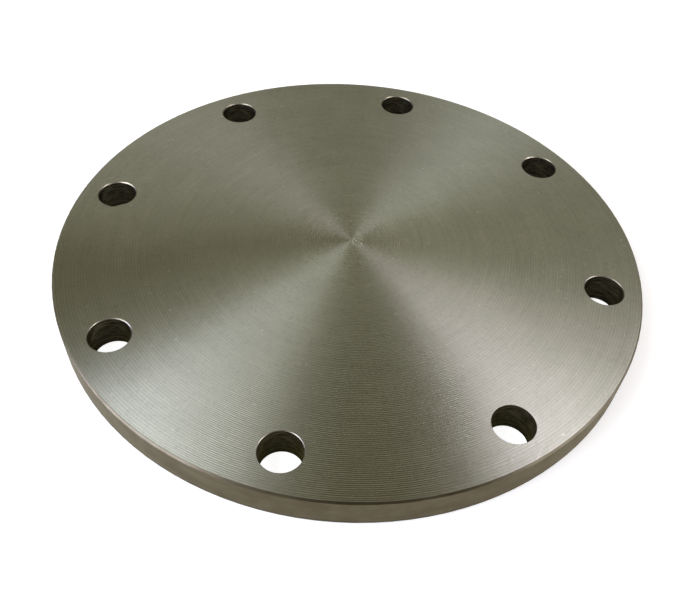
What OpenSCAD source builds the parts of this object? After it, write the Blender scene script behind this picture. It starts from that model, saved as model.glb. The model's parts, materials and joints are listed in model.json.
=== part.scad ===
// Blind flange: one solid round plate that closes the end of a flanged pipe.
// Flat faced on both sides, turned all over, and drilled for a ring of bolts.
// The joint lies on +Z. The origin is the centre of the lower face.
// Default sizes are those of an 8 inch (DN 200) Table E flange, in millimetres.

/* [Plate] */
// Outside diameter of the plate
outside_d = 335; // [330:1:400]
// Thickness over the two turned faces
thickness = 19; // [10:0.5:40]
// Chamfer turned on both corners of the rim, along each leg
rim_chamfer = 1; // [0.2:0.1:3]

/* [Bolting] */
// Diameter of the circle that the bolt holes lie on
bolt_circle_d = 292; // [200:1:292]
// Number of bolt holes, evenly spaced
bolt_count = 8; // [4:4:16]
// Diameter of each bolt hole, for a bolt 2 mm smaller
bolt_hole_d = 22; // [12:0.5:24]
// Edge break at both mouths of each bolt hole, along each leg
hole_chamfer = 0.5; // [0.1:0.1:1.5]

/* [Hidden] */
$fn = 180;
outside_r = outside_d / 2;
bolt_circle_r = bolt_circle_d / 2;
bolt_hole_r = bolt_hole_d / 2;
bolt_pitch_angle = 360 / bolt_count;
// The holes straddle the X and Y axes, as pipework sets them.
first_bolt_angle = bolt_pitch_angle / 2;
// How far each cutter runs past the face that it cuts.
cutter_overrun = 1;

// Half of the plate's section, from the axis out to the chamfered rim.
module plate_section()
    polygon([
        [0, 0],
        [outside_r - rim_chamfer, 0],
        [outside_r, rim_chamfer],
        [outside_r, thickness - rim_chamfer],
        [outside_r - rim_chamfer, thickness],
        [0, thickness]
    ]);

// The plate as it leaves the lathe, before drilling.
module turned_blank()
    rotate_extrude()
        plate_section();

// A cone that breaks the edge of a hole whose mouth faces +Z at the origin.
module edge_break()
    translate([0, 0, -hole_chamfer])
        cylinder(
            h = hole_chamfer + cutter_overrun,
            r1 = bolt_hole_r,
            r2 = bolt_hole_r + hole_chamfer + cutter_overrun
        );

// All that the drill and the countersink take out at one bolt position.
module bolt_hole_cutter() {
    translate([0, 0, -cutter_overrun])
        cylinder(h = thickness + 2 * cutter_overrun, r = bolt_hole_r);
    translate([0, 0, thickness])
        edge_break();
    mirror([0, 0, 1])
        edge_break();
}

// Repeats its children at each bolt position.
module at_bolt_positions()
    for (i = [0 : bolt_count - 1])
        rotate(first_bolt_angle + i * bolt_pitch_angle)
            translate([bolt_circle_r, 0, 0])
                children();

// The whole flange, which is a single piece of steel.
module flange_plate()
    color([0.47, 0.46, 0.41])
        difference() {
            turned_blank();
            at_bolt_positions()
                bolt_hole_cutter();
        }

flange_plate();
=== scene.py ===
"""The looks of a blind flange: one round steel plate, turned all over and drilled with a ring of bolt holes.

Lengths are in metres and in the row frame: +Z up, with the origin at the centre of the lower face. The
plate's size and its bolt holes come from the frame. The piece is one closed mesh, in which the turning
marks, the swirl, the chamfers, the drilled holes, the drill marks, the nick and its burr are real shape.
"""
import json
import math

import bpy
import numpy as np
from mathutils import Matrix, Vector


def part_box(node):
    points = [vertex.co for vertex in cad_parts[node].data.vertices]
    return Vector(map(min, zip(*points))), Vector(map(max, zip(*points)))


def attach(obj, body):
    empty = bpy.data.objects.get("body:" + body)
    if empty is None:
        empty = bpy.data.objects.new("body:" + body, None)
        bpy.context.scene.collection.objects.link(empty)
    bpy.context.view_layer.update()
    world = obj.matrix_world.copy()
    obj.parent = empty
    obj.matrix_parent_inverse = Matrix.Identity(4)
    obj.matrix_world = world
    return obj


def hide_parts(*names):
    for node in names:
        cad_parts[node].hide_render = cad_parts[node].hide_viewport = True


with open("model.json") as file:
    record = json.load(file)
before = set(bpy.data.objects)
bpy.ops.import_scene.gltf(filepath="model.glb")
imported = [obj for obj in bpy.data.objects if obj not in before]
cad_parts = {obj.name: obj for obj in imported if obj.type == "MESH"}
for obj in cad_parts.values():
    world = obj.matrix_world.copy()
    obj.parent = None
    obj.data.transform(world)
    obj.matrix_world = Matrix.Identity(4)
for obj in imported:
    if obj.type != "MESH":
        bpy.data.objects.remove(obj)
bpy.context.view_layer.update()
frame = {"record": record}

MM = 0.001
TURN = 2 * math.pi

# The plate, from the frame
NODE = "flange_plate"
MOUNTS = {mount["name"]: mount for mount in frame["record"]["mounts"]}
BOLTS = MOUNTS["bolt_circle"]["dims"]
PLATE_RADIUS = round(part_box(NODE)[1].x, 5)
THICKNESS = MOUNTS["joint_face"]["pos_m"][2]
BOLT_CIRCLE_RADIUS = BOLTS["pcd_mm"] * MM / 2
BOLT_COUNT = BOLTS["count"]
BOLT_HOLE_RADIUS = BOLTS["hole_r_mm"] * MM
# The holes straddle the X and Y axes.
BOLT_SPACING = TURN / BOLT_COUNT
FIRST_BOLT_ANGLE = BOLT_SPACING / 2

# The rim: its chamfers, and the small rounding of their corners
RIM_CHAMFER = 1.0 * MM
RIM_ROUNDING = 0.2 * MM
RIM_ROUNDING_STEPS = 3
FACE_RADIUS = PLATE_RADIUS - RIM_CHAMFER

# The edge breaks at the top of the holes, in order round the bolt circle. They are cut by hand and differ,
# and the width of each one wanders a little round the mouth.
TOP_EDGE_BREAKS = [0.5 * MM, 0.55 * MM, 0.55 * MM, 0.5 * MM, 0.42 * MM, 0.3 * MM, 0.15 * MM, 0.42 * MM]
BOTTOM_EDGE_BREAK = 0.5 * MM
EDGE_BREAK_WANDER = 0.18
WANDER_WAVES = 3

# One hole has a nick in its near lip, with a burr beside it. Both fade out with depth.
NICKED_HOLE = 3
NICK_ANGLE = math.radians(258)
BURR_ANGLE = math.radians(285)
NICK_HALF_WIDTH = math.radians(13)
NICK_SIZE = 0.8 * MM
BURR_SIZE = 0.7 * MM
NICK_HEIGHT = 2.0 * MM

# Turning marks: one spiral groove on each face, as deep as a round-nosed tool leaves it
FEED = 1.03 * MM
TOOL_NOSE_RADIUS = 1.6 * MM
GROOVE_DEPTH = FEED ** 2 / (8 * TOOL_NOSE_RADIUS)
# The grooves get shallower, and the cut finer, towards the centre. They change over this distance.
CENTRE_BLEND = 85 * MM
CENTRE_GROOVE_SHARE = 0.2
# The depth rises and falls a little as the tool moves out, over this many turns.
GROOVE_VARIATION = 0.04
BEAT_TURNS = 2.3
# Steps round the plate, and steps across each groove
COLUMNS = 120
STEPS_PER_GROOVE = 2
# Vertices closer to the centre or the edge of a face than this join the centre or the edge.
JOIN_DISTANCE = 0.2 * FEED / STEPS_PER_GROOVE
# A corner sharper than this isn't shaded smooth.
SHARP_ANGLE = math.radians(25)

# Drill marks on the wall of each hole: a fine wave and a slow one
DRILL_MARK_PITCH = 1.6 * MM
DRILL_MARK_DEPTH = 0.03 * MM
FINE_MARK_SHARE = 0.6
SLOW_MARK_SHARE = 0.4
SLOW_MARK_PITCH = 3.7 * DRILL_MARK_PITCH
HOLE_COLUMNS = 48
HOLE_WALL_RINGS = 34
CUTTER_OVERRUN = 1.0 * MM
DRILL_SEED = 8

# The small swirl that the tool left close to the centre of the upper face: rings that fade out with distance
SWIRL_X = 3.5 * MM
SWIRL_Y = -1.7 * MM
SWIRL_PITCH = 1.9 * MM
SWIRL_DEPTH = 0.25 * MM
SWIRL_REACH = 4.5 * MM
# Keeps a division by a distance from failing.
SMALLEST_DISTANCE = 1e-9

# The order of the plate's materials
FACE, RIM, BORE, EDGE = range(4)


# ---- Camera --------------------------------------------------------------------------------------

CAMERA_PLACE = Vector((-71.0, -315.8, 321.3)) * MM
CAMERA_TARGET = Vector((-8.9, -46.6, 19.0)) * MM
CAMERA_ROLL = math.radians(4.65)
SENSOR_WIDTH = 36.0
FOCAL_LENGTH = 38.86


def make_camera():
    """A camera above the near edge of the plate, turned a little about its own axis."""
    data = bpy.data.cameras.new("camera")
    data.sensor_width = SENSOR_WIDTH
    data.lens = FOCAL_LENGTH
    data.clip_start = 0.01
    data.clip_end = 100.0
    camera = bpy.data.objects.new("camera", data)
    bpy.context.scene.collection.objects.link(camera)
    camera.location = CAMERA_PLACE
    aim = (CAMERA_TARGET - CAMERA_PLACE).to_track_quat("-Z", "Y").to_matrix().to_4x4()
    camera.matrix_world = Matrix.Translation(CAMERA_PLACE) @ aim @ Matrix.Rotation(CAMERA_ROLL, 4, "Z")
    bpy.context.scene.camera = camera


# ---- Mesh ----------------------------------------------------------------------------------------

def groove_phase(radius, angle):
    """How many turns of the spiral lie inside a point: whole numbers are the crests between grooves."""
    return radius / FEED - angle / TURN


def groove_depth(radius, angle, groove):
    """The depth of one groove of the spiral, counted from the centre."""
    beat = np.sin(TURN * (groove + angle / TURN) / BEAT_TURNS)
    share = 1 - (1 - CENTRE_GROOVE_SHARE) * np.exp(-radius / CENTRE_BLEND)
    return GROOVE_DEPTH * share * (1 + GROOVE_VARIATION * beat)


def groove_drop(radius, angle):
    """How far the grooved face lies below its crests."""
    phase = groove_phase(radius, angle)
    groove = np.floor(phase)
    across = phase - groove
    return groove_depth(radius, angle, groove) * 4 * across * (1 - across)


def swirl(x, y):
    """How far the swirl lies below the upper face, and how fast it falls towards +X and +Y."""
    across = x - SWIRL_X
    along = y - SWIRL_Y
    away = np.maximum(np.hypot(across, along), SMALLEST_DISTANCE)
    wave = TURN * away / SWIRL_PITCH
    half = SWIRL_DEPTH / 2 * np.exp(-((away / SWIRL_REACH) ** 2))
    drop = half * (1 - np.cos(wave))
    fall = half * TURN / SWIRL_PITCH * np.sin(wave) - 2 * away / SWIRL_REACH ** 2 * drop
    return drop, fall * across / away, fall * along / away


class MeshParts:
    """Vertices and faces of one mesh as they are added."""

    def __init__(self):
        self.vertices = []
        self.faces = []
        self.slots = []

    def vertex(self, x, y, z):
        self.vertices.append((x, y, z))
        return len(self.vertices) - 1

    def face(self, corners, slot):
        """Adds a face, leaving out corners that are the same vertex as the one before them."""
        kept = [c for i, c in enumerate(corners) if c != corners[i - 1]]
        if len(set(kept)) > 2:
            self.faces.append(kept)
            self.slots.append(slot)

    def strip(self, inner, outer, slot):
        """Joins two closed rings of vertices that have one vertex in each column."""
        for j in range(len(inner)):
            k = (j + 1) % len(inner)
            self.face([inner[j], outer[j], outer[k], inner[k]], slot)

    def make_object(self, name, materials):
        mesh = bpy.data.meshes.new(name)
        mesh.from_pydata(self.vertices, [], self.faces)
        mesh.polygons.foreach_set("material_index", self.slots)
        mesh.validate()
        for material in materials:
            mesh.materials.append(material)
        made = bpy.data.objects.new(name, mesh)
        bpy.context.scene.collection.objects.link(made)
        return made


def add_grooved_face(parts, face_z, up):
    """Adds one turned face, and returns the ring of vertices at its outer edge. up is 1 or -1."""
    last_ring = math.ceil(FACE_RADIUS / FEED * STEPS_PER_GROOVE)
    centre = parts.vertex(0, 0, face_z - (swirl(0, 0)[0] if up > 0 else 0))
    angles = [TURN * j / COLUMNS for j in range(COLUMNS)]

    def place(radius, angle):
        x = radius * math.cos(angle)
        y = radius * math.sin(angle)
        drop = groove_drop(radius, angle)
        if up > 0:
            drop += swirl(x, y)[0]
        return parts.vertex(x, y, face_z - up * drop)

    edge = [place(FACE_RADIUS, angle) for angle in angles]
    rings = []
    for i in range(-STEPS_PER_GROOVE, last_ring + STEPS_PER_GROOVE + 1):
        ring = []
        for angle, edge_vertex in zip(angles, edge):
            radius = FEED * (i / STEPS_PER_GROOVE + angle / TURN)
            if radius < JOIN_DISTANCE:
                ring.append(centre)
            elif radius > FACE_RADIUS - JOIN_DISTANCE:
                ring.append(edge_vertex)
            else:
                ring.append(place(radius, angle))
        rings.append(ring)
    for i in range(len(rings) - 1 - STEPS_PER_GROOVE):
        # A turn of the spiral ends one groove further out than it began.
        inner = rings[i] + [rings[i + STEPS_PER_GROOVE][0]]
        outer = rings[i + 1] + [rings[i + 1 + STEPS_PER_GROOVE][0]]
        for j in range(COLUMNS):
            corners = [inner[j], outer[j], outer[j + 1], inner[j + 1]]
            parts.face(corners[::up], FACE)
    return edge


def rounded(corners):
    """A section line through points, with the corners between its two ends rounded."""
    line = [corners[0]]
    for before, corner, after in zip(corners, corners[1:], corners[2:]):
        corner = Vector(corner)
        start = corner + (Vector(before) - corner).normalized() * RIM_ROUNDING
        end = corner + (Vector(after) - corner).normalized() * RIM_ROUNDING
        for k in range(RIM_ROUNDING_STEPS + 1):
            t = k / RIM_ROUNDING_STEPS
            line.append(tuple(start * (1 - t) ** 2 + corner * 2 * t * (1 - t) + end * t ** 2))
    line.append(corners[-1])
    return line


def make_blank(materials):
    """The plate as it leaves the lathe."""
    parts = MeshParts()
    top_edge = add_grooved_face(parts, THICKNESS, 1)
    bottom_edge = add_grooved_face(parts, 0.0, -1)
    section = rounded([
        (FACE_RADIUS, THICKNESS),
        (PLATE_RADIUS, THICKNESS - RIM_CHAMFER),
        (PLATE_RADIUS, RIM_CHAMFER),
        (FACE_RADIUS, 0.0),
    ])
    previous = top_edge
    for radius, z in section[1:-1]:
        ring = []
        for j in range(COLUMNS):
            angle = TURN * j / COLUMNS
            ring.append(parts.vertex(radius * math.cos(angle), radius * math.sin(angle), z))
        parts.strip(previous, ring, RIM)
        previous = ring
    parts.strip(previous, bottom_edge, RIM)
    return parts.make_object("flange", materials)


class HoleShape:
    """The uneven shape of one bolt hole. Angles are round the hole's own axis."""

    def __init__(self, index, chance):
        self.index = index
        self.phases = chance.uniform(0, TURN, 2 * WANDER_WAVES)
        self.mark_phase = chance.uniform(0, TURN)

    def wander(self, angle, phases):
        return 1 + EDGE_BREAK_WANDER * sum(
            math.sin((k + 1) * angle + phase) / (k + 1) for k, phase in enumerate(phases))

    def top_break(self, angle):
        return TOP_EDGE_BREAKS[self.index] * self.wander(angle, self.phases[WANDER_WAVES:])

    def bottom_break(self, angle):
        return BOTTOM_EDGE_BREAK * self.wander(angle, self.phases[:WANDER_WAVES])

    def nick(self, angle, z):
        """How far the nick and its burr move the wall outwards."""
        if self.index != NICKED_HOLE:
            return 0.0
        rise = max(0.0, (z - THICKNESS + NICK_HEIGHT) / NICK_HEIGHT)
        lost = NICK_SIZE * math.exp(-((angle - NICK_ANGLE) / NICK_HALF_WIDTH) ** 2)
        pushed_in = BURR_SIZE * math.exp(-((angle - BURR_ANGLE) / NICK_HALF_WIDTH) ** 2)
        return rise * (lost - pushed_in)

    def wall_height(self, angle, share):
        """The height of a wall point, as the share goes from 0 at the bottom of the wall to 1 at its top."""
        low = self.bottom_break(angle)
        high = THICKNESS - self.top_break(angle)
        return low + (high - low) * share

    def wall_radius(self, angle, share):
        """The drill marks fade out towards both mouths."""
        height = self.wall_height(angle, share)
        fine = math.sin(TURN * height / DRILL_MARK_PITCH - angle + self.mark_phase)
        slow = math.sin(TURN * height / SLOW_MARK_PITCH - 2 * angle + self.phases[0])
        fade = math.sin(math.pi * share) ** 0.5
        marks = DRILL_MARK_DEPTH * fade * (FINE_MARK_SHARE * fine + SLOW_MARK_SHARE * slow)
        return BOLT_HOLE_RADIUS + marks + self.nick(angle, height)


def make_hole_cutter(index, chance, materials):
    """What the drill and the countersink take out at one bolt position."""
    shape = HoleShape(index, chance)
    parts = MeshParts()
    bolt_angle = FIRST_BOLT_ANGLE + index * BOLT_SPACING
    centre_x = BOLT_CIRCLE_RADIUS * math.cos(bolt_angle)
    centre_y = BOLT_CIRCLE_RADIUS * math.sin(bolt_angle)

    def ring(radius_at, z_at):
        made = []
        for j in range(HOLE_COLUMNS):
            angle = TURN * j / HOLE_COLUMNS
            x = centre_x + radius_at(angle) * math.cos(angle)
            y = centre_y + radius_at(angle) * math.sin(angle)
            made.append(parts.vertex(x, y, z_at(angle)))
        return made

    def bottom_mouth(angle):
        return BOLT_HOLE_RADIUS + shape.bottom_break(angle) + CUTTER_OVERRUN

    def top_mouth(angle):
        return BOLT_HOLE_RADIUS + shape.nick(angle, THICKNESS) + shape.top_break(angle) + CUTTER_OVERRUN

    rings = [ring(bottom_mouth, lambda angle: -CUTTER_OVERRUN)]
    for share in np.linspace(0, 1, HOLE_WALL_RINGS + 1):
        rings.append(ring(
            lambda angle: shape.wall_radius(angle, share),
            lambda angle: shape.wall_height(angle, share)))
    rings.append(ring(top_mouth, lambda angle: THICKNESS + CUTTER_OVERRUN))
    for i in range(len(rings) - 1):
        is_wall = 0 < i < len(rings) - 2
        parts.strip(rings[i + 1], rings[i], BORE if is_wall else EDGE)
    parts.face(rings[0][::-1], EDGE)
    parts.face(rings[-1], EDGE)
    return parts.make_object(f"hole_cutter_{index + 1}", materials)


def drill(blank):
    """Cuts the bolt holes, and leaves the cut mesh on the blank."""
    chance = np.random.default_rng(DRILL_SEED)
    for index in range(BOLT_COUNT):
        cutter = make_hole_cutter(index, chance, blank.data.materials[:])
        cut = blank.modifiers.new("drill", "BOOLEAN")
        cut.operation = "DIFFERENCE"
        cut.solver = "MANIFOLD"
        cut.object = cutter
        graph = bpy.context.evaluated_depsgraph_get()
        mesh = bpy.data.meshes.new_from_object(blank.evaluated_get(graph), depsgraph=graph)
        blank.modifiers.clear()
        blank.data = mesh
        bpy.data.objects.remove(cutter)


def read_values(items, attribute, width=1, kind=np.float32):
    """One attribute of all the items of a mesh, as an array with a row for each item."""
    values = np.zeros(len(items) * width, kind)
    items.foreach_get(attribute, values)
    return values.reshape(-1, width) if width > 1 else values


def set_normals(piece):
    """Smooth shading, with sharp corners and the exact curve of each groove on the turned faces."""
    mesh = piece.data
    mesh.shade_smooth()
    mesh.set_sharp_from_angle(angle=SHARP_ANGLE)
    normals = read_values(mesh.corner_normals, "vector", 3)
    vertex_of = read_values(mesh.loops, "vertex_index", kind=np.int32)
    places = read_values(mesh.vertices, "co", 3)[vertex_of]
    loop_totals = read_values(mesh.polygons, "loop_total", kind=np.int32)
    slots = read_values(mesh.polygons, "material_index", kind=np.int32)
    centres = np.repeat(read_values(mesh.polygons, "center", 3), loop_totals, axis=0)
    on_face = np.repeat(slots == FACE, loop_totals)

    centre_angle = np.arctan2(centres[:, 1], centres[:, 0]) % TURN
    groove = np.floor(groove_phase(np.hypot(centres[:, 0], centres[:, 1]), centre_angle))
    angle = np.arctan2(places[:, 1], places[:, 0])
    # The same turn of the spiral as the face's centre
    turn_angle = centre_angle + (angle - centre_angle + math.pi) % TURN - math.pi
    radius = np.hypot(places[:, 0], places[:, 1])
    across = np.clip(groove_phase(radius, turn_angle) - groove, 0, 1)
    # The outward slope of the groove: it falls from one crest and rises to the next.
    slope = -groove_depth(radius, turn_angle, groove) / FEED * 4 * (1 - 2 * across)
    up = np.where(centres[:, 2] > THICKNESS / 2, 1.0, -1.0)
    grooved = np.stack([-slope * np.cos(angle), -slope * np.sin(angle), up], axis=1)
    # The middle of a face has no direction outwards.
    grooved[radius < FEED / 2, :2] = 0
    swirl_falls = swirl(places[:, 0], places[:, 1])[1:]
    for axis, fall in enumerate(swirl_falls):
        grooved[:, axis] += np.where(up > 0, fall, 0)
    grooved /= np.linalg.norm(grooved, axis=1, keepdims=True)
    normals[on_face] = grooved[on_face]
    mesh.normals_split_custom_set(normals.tolist())


# ---- Materials -----------------------------------------------------------------------------------

class Nodes:
    """A short way to write a node tree."""

    def __init__(self, name):
        self.material = bpy.data.materials.new(name)
        self.material.use_nodes = True
        self.tree = self.material.node_tree
        self.tree.nodes.clear()

    def add(self, kind, inputs=None, **settings):
        node = self.tree.nodes.new("ShaderNode" + kind)
        for name, value in settings.items():
            setattr(node, name, value)
        for name, value in (inputs or {}).items():
            if isinstance(value, bpy.types.NodeSocket):
                self.tree.links.new(value, node.inputs[name])
            else:
                node.inputs[name].default_value = value
        return node

    def math(self, operation, *values):
        return self.add("Math", dict(enumerate(values)), operation=operation).outputs[0]

    def times(self, value, factor):
        return self.math("MULTIPLY", value, factor)

    def vector(self, x, y, z):
        return self.add("CombineXYZ", {"X": x, "Y": y, "Z": z}).outputs[0]

    def stretch(self, place, factors):
        return self.add("VectorMath", {0: place, 1: factors}, operation="MULTIPLY").outputs[0]

    def turn(self, place, angle):
        """The place turned about the axis."""
        inputs = {"Vector": place, "Angle": angle}
        return self.add("VectorRotate", inputs, rotation_type="Z_AXIS").outputs[0]

    def noise(self, place, scale=1.0, detail=2.0, roughness=0.5):
        """Noise from 0 to 1, centred on a half."""
        inputs = {"Vector": place, "Scale": scale, "Detail": detail, "Roughness": roughness}
        return self.add("TexNoise", inputs).outputs["Fac"]

    def remap(self, value, low, high, to_low=0.0, to_high=1.0):
        """A number that goes from to_low to to_high as the value goes from low to high, and no further."""
        inputs = {"Value": value, "From Min": low, "From Max": high, "To Min": to_low, "To Max": to_high}
        return self.add("MapRange", inputs, clamp=True).outputs[0]

    def mix(self, share, first, second):
        """A colour from the first to the second, as the share goes from 0 to 1."""
        # Inputs 6 and 7 and output 2 are the node's colour sockets.
        return self.add("Mix", {0: share, 6: first, 7: second}, data_type="RGBA").outputs[2]

    def tint(self, colour, added, value, low, high, most=1.0):
        """Mixes another colour in: none where the value is low, and by the share most where it is high."""
        return self.mix(self.remap(value, low, high, to_high=most), colour, added)

    def finish(self, inputs):
        """Adds the shader and its output. Constant values go straight to the shader's own sockets."""
        shader = self.add("BsdfPrincipled", inputs)
        self.add("OutputMaterial", {"Surface": shader.outputs[0]})
        return self.material


SMALLEST_RADIUS_MM = 0.01


def place_mm(nodes):
    """Object coordinates in millimetres."""
    return nodes.stretch(nodes.add("TexCoord").outputs["Object"], (1 / MM, 1 / MM, 1 / MM))


def height_mm(nodes, place):
    return nodes.add("SeparateXYZ", {0: place}).outputs["Z"]


def radius_mm(nodes, place):
    """The distance from the axis in millimetres."""
    split = nodes.add("SeparateXYZ", {0: place}).outputs
    squares = nodes.math("ADD", nodes.math("POWER", split["X"], 2.0), nodes.math("POWER", split["Y"], 2.0))
    return nodes.math("SQRT", squares)


def round_axis(nodes, place):
    """The direction from the axis, as its cosine and sine."""
    split = nodes.add("SeparateXYZ", {0: place}).outputs
    safe_radius = nodes.math("MAXIMUM", radius_mm(nodes, place), SMALLEST_RADIUS_MM)
    return nodes.math("DIVIDE", split["X"], safe_radius), nodes.math("DIVIDE", split["Y"], safe_radius)


def round_nearest_hole(nodes, place):
    """The direction from the axis of the nearest bolt hole, as its cosine and sine."""
    split = nodes.add("SeparateXYZ", {0: place}).outputs
    angle = nodes.math("ARCTAN2", split["Y"], split["X"])
    turns = nodes.math("DIVIDE", nodes.math("SUBTRACT", angle, FIRST_BOLT_ANGLE), BOLT_SPACING)
    bolt = nodes.math("MULTIPLY_ADD", nodes.math("ROUND", turns), BOLT_SPACING, FIRST_BOLT_ANGLE)
    circle = BOLT_CIRCLE_RADIUS / MM
    x = nodes.math("SUBTRACT", split["X"], nodes.times(nodes.math("COSINE", bolt), circle))
    y = nodes.math("SUBTRACT", split["Y"], nodes.times(nodes.math("SINE", bolt), circle))
    direction = nodes.math("ARCTAN2", y, x)
    return nodes.math("COSINE", direction), nodes.math("SINE", direction)


def banded_noise(nodes, distance, direction, fineness, waves):
    """Noise in bands that run round the axis. Finer bands follow each other sooner over a distance in
    millimetres, and with more waves each band is shorter."""
    across, along = direction
    place = nodes.vector(
        nodes.times(distance, fineness), nodes.times(across, waves), nodes.times(along, waves))
    return nodes.noise(place, detail=3.0, roughness=0.6)


def turned_tangent(nodes):
    """The direction round the axis."""
    return nodes.add("Tangent", direction_type="RADIAL", axis="Z").outputs[0]


# The highlight on a turned surface is drawn out across the marks: a quarter turn from the tangent.
ACROSS_MARKS = 0.25

# Colours of bare and stained steel, linear
FACE_PALE = (0.57, 0.57, 0.484, 1)
FACE_MEDIUM = (0.50, 0.503, 0.422, 1)
FACE_STREAK = (0.35, 0.34, 0.275, 1)
FACE_RING = (0.3, 0.295, 0.24, 1)
FACE_GRAIN = (0.25, 0.24, 0.19, 1)
FACE_SPECK = (0.8, 0.79, 0.72, 1)
FACE_SCRATCH = (0.7, 0.69, 0.62, 1)
# Burnish and painted highlight at the edge of each face
FACE_BURNISH_AND_HIGHLIGHT = (0.66, 0.65, 0.57, 1)
RIM_MEDIUM = (0.108, 0.092, 0.057, 1)
RIM_PALE = (0.168, 0.146, 0.094, 1)
RIM_STAIN = (0.07, 0.055, 0.03, 1)
# Painted shade along the rim's lower corner, next to the floor
RIM_PAINTED_CONTACT_SHADE = (0.02, 0.017, 0.01, 1)
RIM_GRAZING = (0.9, 0.86, 0.72, 1)
BORE_DARK = (0.034, 0.029, 0.0175, 1)
BORE_MEDIUM = (0.092, 0.08, 0.048, 1)
BORE_PALE = (0.31, 0.285, 0.18, 1)
BORE_GRAZING = (0.6, 0.57, 0.42, 1)
EDGE_MEDIUM = (0.235, 0.21, 0.155, 1)
EDGE_PALE = (0.37, 0.335, 0.25, 1)
# Painted shade inside the holes
BORE_PAINTED_SHADE = (0, 0, 0, 1)

# Faint tone rings on the faces, in millimetres. They are fainter near the centre.
RING_PITCH = 1.6
RINGS_FAINT_INSIDE = 25.0
RINGS_FULL_OUTSIDE = 95.0
FAINT_RING_SHARE = 0.2
# The edge of each face is painted lighter: partly burnish from handling, and partly a painted highlight
# where the rounded edge catches the light. These are the distances from the chamfer at which that
EDGE_BRIGHTENING_START = 2.4
EDGE_BRIGHTENING_FULL = 1.2
# Faint scratches that run two ways: each is an angle, and how fast the noise changes along the scratch
SCRATCHES = [(0.5, 0.02), (-0.9, 0.03)]
SCRATCH_FINENESS = 0.7
# The cut is finer towards the centre, so the face is this much smoother there.
SMOOTHER_CENTRE = 0.07
# The drill left uneven rings in each hole: how often one changes on its way round, and how fast they follow
# each other with depth
BORE_RING_WAVES = 1.5
BORE_RING_FINENESS = 1.1


def face_material():
    nodes = Nodes("turned_face_steel")
    place = place_mm(nodes)
    radius = radius_mm(nodes, place)
    streaks = banded_noise(nodes, radius, round_axis(nodes, place), fineness=0.7, waves=2.5)
    patches = nodes.noise(place, scale=0.05, detail=4.0, roughness=0.6)
    colour = nodes.tint(FACE_PALE, FACE_MEDIUM, patches, low=0.3, high=0.7)
    colour = nodes.tint(colour, FACE_STREAK, streaks, low=0.3, high=0.7, most=0.35)
    rings = nodes.math("SINE", nodes.times(radius, TURN / RING_PITCH))
    ring_share = nodes.math(
        "MULTIPLY",
        nodes.remap(rings, low=-1.0, high=1.0, to_high=0.34),
        nodes.remap(radius, RINGS_FAINT_INSIDE, RINGS_FULL_OUTSIDE, to_low=FAINT_RING_SHARE))
    colour = nodes.mix(ring_share, colour, FACE_RING)
    grain = nodes.noise(place, scale=0.55, roughness=0.7)
    colour = nodes.tint(colour, FACE_GRAIN, grain, low=0.5, high=0.8, most=0.4)
    specks = nodes.noise(place, scale=0.33, detail=1.0)
    colour = nodes.tint(colour, FACE_SPECK, specks, low=0.72, high=0.8, most=0.4)
    for angle, drawn_out in SCRATCHES:
        turned = nodes.turn(place, angle)
        scratch = nodes.noise(nodes.stretch(turned, (drawn_out, SCRATCH_FINENESS, 0.0)), detail=1.0)
        colour = nodes.tint(colour, FACE_SCRATCH, scratch, low=0.72, high=0.8, most=0.35)
    edge = FACE_RADIUS / MM
    # Burnish and painted highlight along the edge of the face
    colour = nodes.tint(colour, FACE_BURNISH_AND_HIGHLIGHT, radius, edge - EDGE_BRIGHTENING_START, edge - EDGE_BRIGHTENING_FULL, most=0.03)
    centre = nodes.math("EXPONENT", nodes.math("DIVIDE", radius, -CENTRE_BLEND / MM))
    rough = nodes.remap(streaks, low=0.25, high=0.75, to_low=0.31, to_high=0.35)
    return nodes.finish({
        "Base Color": colour,
        "Metallic": 1.0,
        "Roughness": nodes.math("ADD", rough, nodes.times(centre, -SMOOTHER_CENTRE)),
        "Anisotropic": 0.85,
        "Anisotropic Rotation": ACROSS_MARKS,
        "Tangent": turned_tangent(nodes),
    })


def rim_material():
    nodes = Nodes("turned_rim_steel")
    place = place_mm(nodes)
    height = height_mm(nodes, place)
    bands = banded_noise(nodes, height, round_axis(nodes, place), fineness=0.5, waves=6.0)
    colour = nodes.tint(RIM_MEDIUM, RIM_PALE, bands, low=0.3, high=0.7)
    stains = nodes.noise(place, scale=0.09, detail=3.0, roughness=0.6)
    colour = nodes.tint(colour, RIM_STAIN, stains, low=0.42, high=0.65, most=0.4)
    # Painted shade: a dark line round the lower corner, where the rim meets the floor, fading out with
    # height in millimetres
    corner = nodes.remap(height, low=0.6, high=2.6, to_low=0.95, to_high=0.0)
    return nodes.finish({
        "Base Color": nodes.mix(corner, colour, RIM_PAINTED_CONTACT_SHADE),
        "Metallic": 1.0,
        "Roughness": nodes.remap(bands, low=0.3, high=0.7, to_low=0.36, to_high=0.46),
        "Specular Tint": RIM_GRAZING,
        "Anisotropic": 0.6,
        "Anisotropic Rotation": ACROSS_MARKS,
        "Tangent": turned_tangent(nodes),
    })


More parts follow.
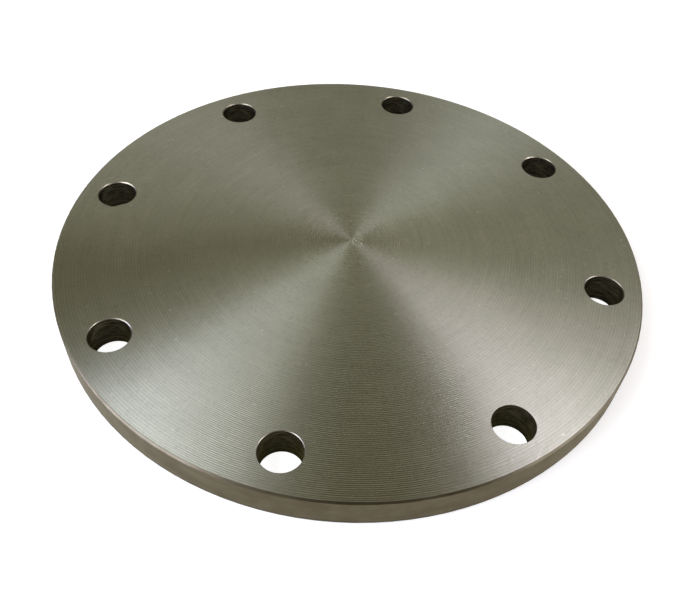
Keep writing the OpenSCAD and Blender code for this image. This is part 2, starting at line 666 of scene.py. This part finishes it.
def bore_material():
    nodes = Nodes("drilled_hole_steel")
    place = place_mm(nodes)
    height = height_mm(nodes, place)
    across, along = round_nearest_hole(nodes, place)
    ring_place = nodes.vector(
        nodes.times(across, BORE_RING_WAVES),
        nodes.times(along, BORE_RING_WAVES),
        nodes.times(height, BORE_RING_FINENESS))
    rings = nodes.noise(ring_place, detail=3.0, roughness=0.7)
    stains = nodes.noise(place, scale=0.25)
    colour = nodes.tint(BORE_DARK, BORE_MEDIUM, stains, low=0.35, high=0.65)
    colour = nodes.tint(colour, BORE_PALE, rings, low=0.42, high=0.75)
    # Painted shade: the wall's colour darkens towards the bottom of the hole, where less light reaches it.
    painted_depth_shade = nodes.remap(height, 0.0, THICKNESS / MM, to_low=0.72, to_high=0.0)
    return nodes.finish({
        "Base Color": nodes.mix(painted_depth_shade, colour, BORE_PAINTED_SHADE),
        "Metallic": 1.0,
        "Roughness": nodes.remap(rings, low=0.3, high=0.7, to_low=0.5, to_high=0.36),
        "Specular Tint": BORE_GRAZING,
    })


def edge_material():
    nodes = Nodes("cut_edge_steel")
    wear = nodes.noise(place_mm(nodes), scale=0.35, detail=3.0, roughness=0.6)
    return nodes.finish({
        "Base Color": nodes.tint(EDGE_MEDIUM, EDGE_PALE, wear, low=0.35, high=0.65),
        "Metallic": 1.0,
        "Roughness": nodes.remap(wear, low=0.35, high=0.65, to_low=0.44, to_high=0.36),
    })


# ---- Lights and stage ----------------------------------------------------------------------------

LIGHT_DISTANCE = 1.2
COOL = (0.96, 1.0, 1.19)
BLUISH = (0.92, 1.0, 1.6)
ROSY = (1.0, 1.0, 1.10)
PALE = (0.96, 1.0, 0.93)
MAUVE = (1.13, 1.0, 1.31)
TAWNY = (1.3, 1.0, 0.2)
# Soft rectangular lights that face the plate: name, azimuth from +X, elevation, the angles that the light
# spans in width and height as seen from the plate, radiance and colour. Angles are in degrees.
SOFTBOXES = [
    ("left_softbox", 195, 41, 45, 42, 5.05, COOL),
    ("low_left_card", 193, 10, 46, 18, 6.5, BLUISH),
    ("right_softbox", 335, 35, 33, 43, 4.15, ROSY),
    ("low_right_card", 337, 7.5, 50, 13, 2.0, BLUISH),
    ("near_right_fill", 5, 55, 50, 20, 0.9, MAUVE),
    ("far_right_fill", 32, 44, 55, 14, 0.57, PALE),
    ("high_right_fill", 53, 56, 46, 16, 0.33, PALE),
    ("far_low_fill", 91, 24, 62, 25, 0.39, PALE),
    ("high_left_fill", 147, 64, 68, 25, 0.45, PALE),
]
# A dim room lights the plate, and the camera sees a pale wall.
ROOM_COLOUR = (*TAWNY, 1)
ROOM_STRENGTH = 0.06
WALL_COLOUR = (0.93, 0.93, 0.93, 1)

FLOOR_HALF_WIDTH = 6.0
FLOOR_COLOUR = (0.76, 0.75, 0.69, 1)
WHITE = (1, 1, 1, 1)
# The floor glows, so that it looks nearly white. It glows more below the plate, where little light reaches
# it, and far away, so that it runs into the wall. The light that it gives is weaker than the glow that the
# camera sees.
FLOOR_GLOW = 0.4
FLOOR_LIGHT = 0.1
GLOW_BELOW_PLATE = 0.9
LIGHT_BELOW_PLATE = 0.15
FAR_GLOW = 0.72
# Where the glow changes, in millimetres from the axis: just inside the edge of the plate, and far away
PLATE_GLOW_END = (PLATE_RADIUS - 2 * RIM_CHAMFER) / MM
PLATE_GLOW_FADE = 3.0
FAR_GLOW_START = 700.0
FAR_GLOW_FULL = 2400.0


def make_softbox(name, azimuth, elevation, width, height, radiance, colour):
    data = bpy.data.lights.new(name, "AREA")
    data.shape = "RECTANGLE"
    data.size = 2 * LIGHT_DISTANCE * math.tan(math.radians(width / 2))
    data.size_y = 2 * LIGHT_DISTANCE * math.tan(math.radians(height / 2))
    data.energy = radiance * math.pi * data.size * data.size_y
    data.color = colour
    light = bpy.data.objects.new(name, data)
    bpy.context.scene.collection.objects.link(light)
    a = math.radians(azimuth)
    e = math.radians(elevation)
    direction = Vector((math.cos(e) * math.cos(a), math.cos(e) * math.sin(a), math.sin(e)))
    light.location = direction * LIGHT_DISTANCE
    light.rotation_mode = "QUATERNION"
    light.rotation_quaternion = direction.to_track_quat("Z", "Y")
    light.visible_camera = False


def make_room():
    world = bpy.data.worlds.new("studio")
    world.use_nodes = True
    tree = world.node_tree
    room = tree.nodes["Background"]
    room.inputs["Color"].default_value = ROOM_COLOUR
    room.inputs["Strength"].default_value = ROOM_STRENGTH
    wall = tree.nodes.new("ShaderNodeBackground")
    wall.inputs["Color"].default_value = WALL_COLOUR
    choice = tree.nodes.new("ShaderNodeMixShader")
    path = tree.nodes.new("ShaderNodeLightPath")
    tree.links.new(path.outputs["Is Camera Ray"], choice.inputs[0])
    tree.links.new(room.outputs[0], choice.inputs[1])
    tree.links.new(wall.outputs[0], choice.inputs[2])
    tree.links.new(choice.outputs[0], tree.nodes["World Output"].inputs["Surface"])
    bpy.context.scene.world = world


def floor_material():
    nodes = Nodes("pale_floor")
    radius = radius_mm(nodes, place_mm(nodes))
    seen = nodes.add("LightPath").outputs["Is Camera Ray"]
    below = nodes.remap(seen, low=0.0, high=1.0, to_low=LIGHT_BELOW_PLATE, to_high=GLOW_BELOW_PLATE)
    outside = nodes.remap(seen, low=0.0, high=1.0, to_low=FLOOR_LIGHT, to_high=FLOOR_GLOW)
    fade_start = PLATE_GLOW_END - PLATE_GLOW_FADE
    near = nodes.remap(radius, fade_start, PLATE_GLOW_END, to_low=below, to_high=outside)
    far = nodes.remap(radius, FAR_GLOW_START, FAR_GLOW_FULL, to_high=FAR_GLOW)
    return nodes.finish({
        "Base Color": FLOOR_COLOUR,
        "Roughness": 0.6,
        "Specular IOR Level": 0.2,
        "Emission Color": WHITE,
        "Emission Strength": nodes.math("ADD", near, far),
    })


def make_floor():
    parts = MeshParts()
    signs = ((-1, -1), (1, -1), (1, 1), (-1, 1))
    parts.face([parts.vertex(x * FLOOR_HALF_WIDTH, y * FLOOR_HALF_WIDTH, 0.0) for x, y in signs], 0)
    floor = parts.make_object("studio_floor", [floor_material()])


# ---- Scene ---------------------------------------------------------------------------------------

make_camera()
flange = make_blank([face_material(), rim_material(), bore_material(), edge_material()])
drill(flange)
set_normals(flange)
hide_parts(NODE)
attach(flange, "root")
for softbox in SOFTBOXES:
    make_softbox(*softbox)
make_room()
make_floor()
bpy.context.scene.view_settings.view_transform = "Standard"
